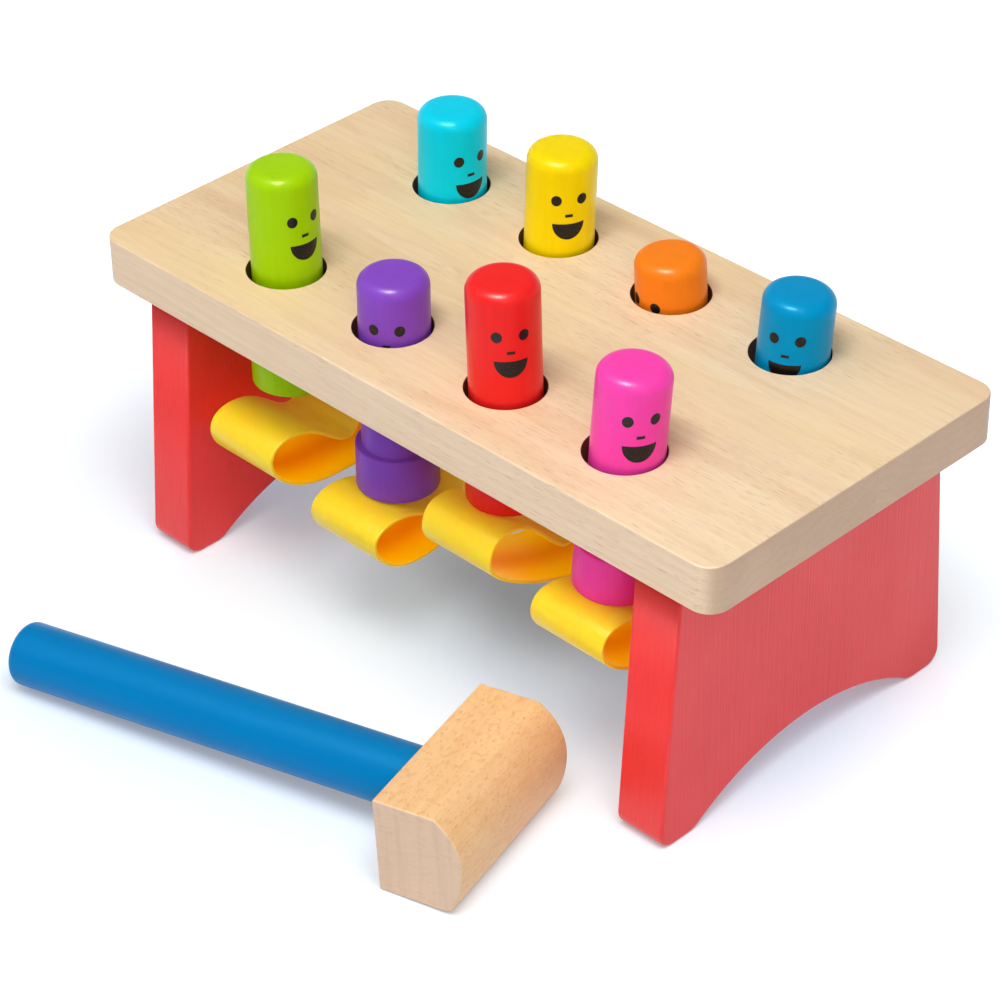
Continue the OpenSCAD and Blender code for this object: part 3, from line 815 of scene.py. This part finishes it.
def mallet_matrix():
    """The mallet's own frame: the handle comes in along X, and the head's length is Y."""
    arm = (HANDLE_REACH - HANDLE_END_RADIUS, HEAD_HEIGHT / 2 - HANDLE_RADIUS + HANDLE_END_RADIUS)
    tilt = math.atan2(arm[1], arm[0]) - math.asin(HANDLE_END_RADIUS / math.hypot(*arm))
    turn = Matrix.Rotation(math.radians(MALLET_TURN), 4, "Z") @ Matrix.Rotation(-tilt, 4, "Y")
    out = FOOT_HALF + MALLET_GAP + HEAD_LENGTH / 2 * math.cos(math.radians(MALLET_TURN))
    return Matrix.Translation((MALLET_X, middle("board").y - out, 0)) @ turn


def head_outline():
    """Outline of the mallet's head across its length: a flat handle side and a rounded crown."""
    c, bend, toe = HEAD_CORNER, HEAD_BEND_RADIUS, TOE_RADIUS
    crown = (HEAD_DEPTH - CROWN_RADIUS, CROWN_MIDDLE)
    flank = (HEAD_DEPTH - FLANK_RADIUS, CROWN_MIDDLE)
    toe_x = flank[0] + math.sqrt((FLANK_RADIUS - toe) ** 2 - (CROWN_MIDDLE - toe) ** 2)
    bend_z = HEAD_HEIGHT - bend
    bend_x = crown[0] + math.sqrt((CROWN_RADIUS - bend) ** 2 - (bend_z - CROWN_MIDDLE) ** 2)
    low = math.degrees(math.atan2(toe - CROWN_MIDDLE, toe_x - flank[0]))
    high = math.degrees(math.atan2(bend_z - CROWN_MIDDLE, bend_x - crown[0]))
    return (arc((c, c), c, 180, 270, 6) + arc((toe_x, toe), toe, 270, 360 + low, 8)
            + arc(flank, FLANK_RADIUS, low, 0, 14)[1:] + arc(crown, CROWN_RADIUS, 0, high, 18)[1:]
            + arc((bend_x, bend_z), bend, high, 90, 5)[1:] + arc((c, HEAD_HEIGHT - c), c, 90, 180, 6))


def make_mallet(head_material, handle_material):
    matrix = mallet_matrix()
    outline = head_outline()
    # Columns: the outline's first axis is X, its second Z, and the depth is -Y
    side = matrix @ Matrix(((1, 0, 0, 0), (0, 0, -1, HEAD_LENGTH / 2), (0, 1, 0, 0), (0, 0, 0, 1)))
    head = plate("mallet_head_beech", outline, [], HEAD_LENGTH, HEAD_EDGE, 0, head_material, side)
    head.data.transform(matrix.inverted() @ side)
    head.matrix_world = matrix
    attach(head, "mallet")
    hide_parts("mallet_head")
    r, e = HANDLE_RADIUS, HANDLE_END_RADIUS
    length = HANDLE_REACH + HANDLE_SEAT
    crown = [(r * s, HANDLE_END_CROWN * s * s) for s in (0, 0.25, 0.5)]
    shaft = [(r, length * k / 12) for k in range(1, 13)]
    profile = crown + arc((r - e, HANDLE_END_CROWN + e), e, -84, 0, 10) + shaft + [(0, length)]
    along = matrix @ Matrix.Translation((-HANDLE_REACH, 0, HEAD_HEIGHT / 2)) @ Matrix.Rotation(
        math.pi / 2, 4, "Y")
    handle = lathe("mallet_handle_lacquered", profile, handle_material, along)
    handle.data.set_sharp_from_angle(angle=math.radians(60))
    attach(handle, "mallet")
    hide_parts("mallet_handle")


# Camera, light and floor

def make_camera():
    azimuth = math.radians(CAMERA_AZIMUTH)
    elevation = math.radians(CAMERA_ELEVATION)
    back = Vector((math.sin(azimuth) * math.cos(elevation), -math.cos(azimuth) * math.cos(elevation),
                   math.sin(elevation)))
    right = Vector((0, 0, 1)).cross(back).normalized()
    up = back.cross(right)
    turn = Matrix((right, up, back)).transposed().to_4x4()
    roll = Matrix.Rotation(math.radians(CAMERA_ROLL), 4, "Z")
    camera = bpy.data.objects.new("camera", bpy.data.cameras.new("camera"))
    camera.data.lens = CAMERA_LENS
    camera.data.sensor_width = CAMERA_SENSOR
    camera.matrix_world = Matrix.Translation(CAMERA_PLACE) @ turn @ roll
    bpy.context.scene.collection.objects.link(camera)
    bpy.context.scene.camera = camera


def make_lamp(name, place, target, size, power, floor_only):
    """An area lamp that faces a target. Its first size runs level, across the camera's view.
    floor_only says whether it lights the floor alone, or all but the floor."""
    lamp = bpy.data.lights.new(name, "AREA")
    lamp.shape = "RECTANGLE"
    lamp.size, lamp.size_y = size
    lamp.energy = power
    holder = bpy.data.objects.new(name, lamp)
    back = (Vector(place) - Vector(target)).normalized()
    azimuth = math.radians(CAMERA_AZIMUTH)
    level = Vector((math.cos(azimuth), math.sin(azimuth), 0))
    up = back.cross(level).normalized()
    turn = Matrix((up.cross(back), up, back)).transposed().to_4x4()
    holder.matrix_world = Matrix.Translation(place) @ turn
    bpy.context.scene.collection.objects.link(holder)
    receivers = bpy.data.collections.new(f"{name}_receivers")
    receivers.objects.link(bpy.data.objects["floor"])
    holder.light_linking.receiver_collection = receivers
    receivers.collection_objects[0].light_linking.link_state = "INCLUDE" if floor_only else "EXCLUDE"


def seen_share(tree, names):
    """1 for the kinds of ray that are named, and 0 for all others."""
    path = tree.nodes.new("ShaderNodeLightPath")
    value = path.outputs[names[0]]
    for name in names[1:]:
        node = tree.nodes.new("ShaderNodeMath")
        node.operation = "MAXIMUM"
        tree.links.new(value, node.inputs[0])
        tree.links.new(path.outputs[name], node.inputs[1])
        value = node.outputs[0]
    return value


def make_world(strength, ceiling):
    """A white surround. Reflections see it white near the horizon, and as dark as a ceiling above."""
    world = bpy.data.worlds.new("studio")
    world.use_nodes = True
    bpy.context.scene.world = world
    tree = world.node_tree

    def map_range(value, inputs):
        node = tree.nodes.new("ShaderNodeMapRange")
        tree.links.new(value, node.inputs["Value"])
        for key, item in inputs.items():
            if isinstance(item, bpy.types.NodeSocket):
                tree.links.new(item, node.inputs[key])
            else:
                node.inputs[key].default_value = item
        return node.outputs[0]

    split = tree.nodes.new("ShaderNodeSeparateXYZ")
    coords = tree.nodes.new("ShaderNodeTexCoord")
    tree.links.new(coords.outputs["Generated"], split.inputs[0])
    low, high = CEILING_SPAN
    mirrored = map_range(split.outputs["Z"], {"From Min": low, "From Max": high, "To Min": 1.0,
                                             "To Max": ceiling})
    lit = map_range(seen_share(tree, ("Is Glossy Ray",)), {"To Min": strength, "To Max": mirrored})
    seen = seen_share(tree, ("Is Camera Ray", "Is Transmission Ray"))
    background = tree.nodes["Background"]
    background.inputs["Color"].default_value = (1, 1, 1, 1)
    tree.links.new(map_range(seen, {"To Min": lit, "To Max": 1.0}), background.inputs["Strength"])


def make_floor():
    half = FLOOR_HALF
    floor = new_piece("floor", [(-half, -half, 0), (half, -half, 0), (half, half, 0), (-half, half, 0)],
                      [(0, 1, 2, 3)], None)
    floor.data.materials.clear()
    g = Graph("floor_white")
    cloud = g.noise((3, 3, 3), 2)
    # Distance from under the bench's middle, where 1 is the edge of the oval with the painted shadow
    bench_middle = (0, middle("board").y / SHADE_HALF_Y, 0)
    out = g.add("VectorMath", [(0, g.place((1 / SHADE_HALF_X, 1 / SHADE_HALF_Y, 0))), (1, bench_middle)],
                operation="DISTANCE").outputs["Value"]
    # The glow's cool colour there is painted light that makes up for the warm light that the wood and the
    # bands throw down
    warmed = g.span(out, *WARM_SPAN, 1.0, 0.0)
    # Painted shadow: it darkens the floor's colour and its glow under the bench
    lit = g.math("SUBTRACT", 1.0, g.span(out, *PAINTED_SHADOW_SPAN, PAINTED_SHADOW_DEPTH, 0.0))
    # A cool white, which offsets the warm light that the bench throws down
    white = g.mix(g.span(cloud, 0.3, 0.7), (0.765, 0.80, 0.855, 1), (0.77, 0.805, 0.86, 1))
    g.shade(Base_Color=g.mix(1.0, white, lit, "MULTIPLY"), Roughness=0.9, Specular_IOR_Level=0.0,
            Emission_Color=g.mix(warmed, (0.94, 0.98, 1, 1), (0.55, 1.06, 1.5, 1)))
    away = g.add("VectorMath", [(0, g.place())], operation="LENGTH").outputs["Value"]
    glow = g.math("MULTIPLY", g.span(away, *FAR_GLOW_SPAN, FLOOR_GLOW, FAR_GLOW), lit)
    glow = g.math("ADD", glow, g.span(away, *HORIZON_GLOW_SPAN, 0.0, HORIZON_GLOW))
    g.shade(Emission_Strength=g.math("MULTIPLY", seen_share(g.tree, SEEN_RAYS), glow))
    floor.data.materials.append(g.material)


bpy.context.scene.view_settings.view_transform = "Standard"
make_camera()
make_world(AMBIENT, CEILING)
make_floor()
for lamp_name, lamp_settings in LAMPS.items():
    make_lamp(lamp_name, *lamp_settings, floor_only=lamp_name == "floor_lamp")
bpy.data.objects["floor_lamp"].data.color = FLOOR_LAMP_COLOUR
bpy.data.objects["glint_lamp"].visible_diffuse = False

pine_material = pine("pine", 0.02, -0.20, painted_bore_shade=True)
red_paint = painted_wood("red_paint", (0.955, 0.185, 0.18), (0.885, 0.14, 0.145),
                         grain_scale=(1300, 20, 1300), roughness=0.30, grain_height=0.05 * MM, streak=0.35)
beech_material = beech("beech")
handle_blue = painted_wood("handle_blue", (0.0, 0.49, 0.742), (0.0, 0.455, 0.71),
                           grain_scale=(420, 420, 26), roughness=0.33, grain_height=0.05 * MM, tint=0.85,
                           gloss=0.2)
make_board(pine_material)
make_legs(red_paint)
make_batten(pine("batten_pine", 0.01, -0.06))
# Outside: a faint glow, painted light for what comes through the sheet
yellow_plastic = band_plastic("yellow_plastic", rim=(1.0, 0.845, 0.15), middle_shade=(1.0, 0.835, 0.13),
                              glow_rim=(1.0, 0.78, 0.3), glow_middle=(1.0, 0.78, 0.3),
                              glow_strength=0.11, gloss=0.3)
# Inside: a deeper orange and a stronger glow, painted light for what comes through the sheet, with painted
# shade in the loop's middle
lit_plastic = band_plastic("yellow_plastic_lit_inside", rim=(1.0, 0.71, 0.0), middle_shade=(0.93, 0.56, 0.02),
                           glow_rim=(1.0, 0.84, 0.0), glow_middle=(0.70, 0.53, 0.0),
                           glow_strength=0.27, gloss=0.05)
for pair in PAIRS:
    make_band(*pair, yellow_plastic, lit_plastic)
black_ink = ink("black_ink")
for peg_colour in FACES:
    make_peg(peg_colour, black_ink)
make_mallet(beech_material, handle_blue)
dowel_material = beech("dowel_beech")
steel_material = steel("zinc_steel")
for node_name, node_material in (("left_leg_dowels", dowel_material), ("right_leg_dowels", dowel_material),
                                 ("batten_screws", steel_material)):
    slots = NODES[node_name].data.materials
    slots.clear()
    slots.append(node_material)
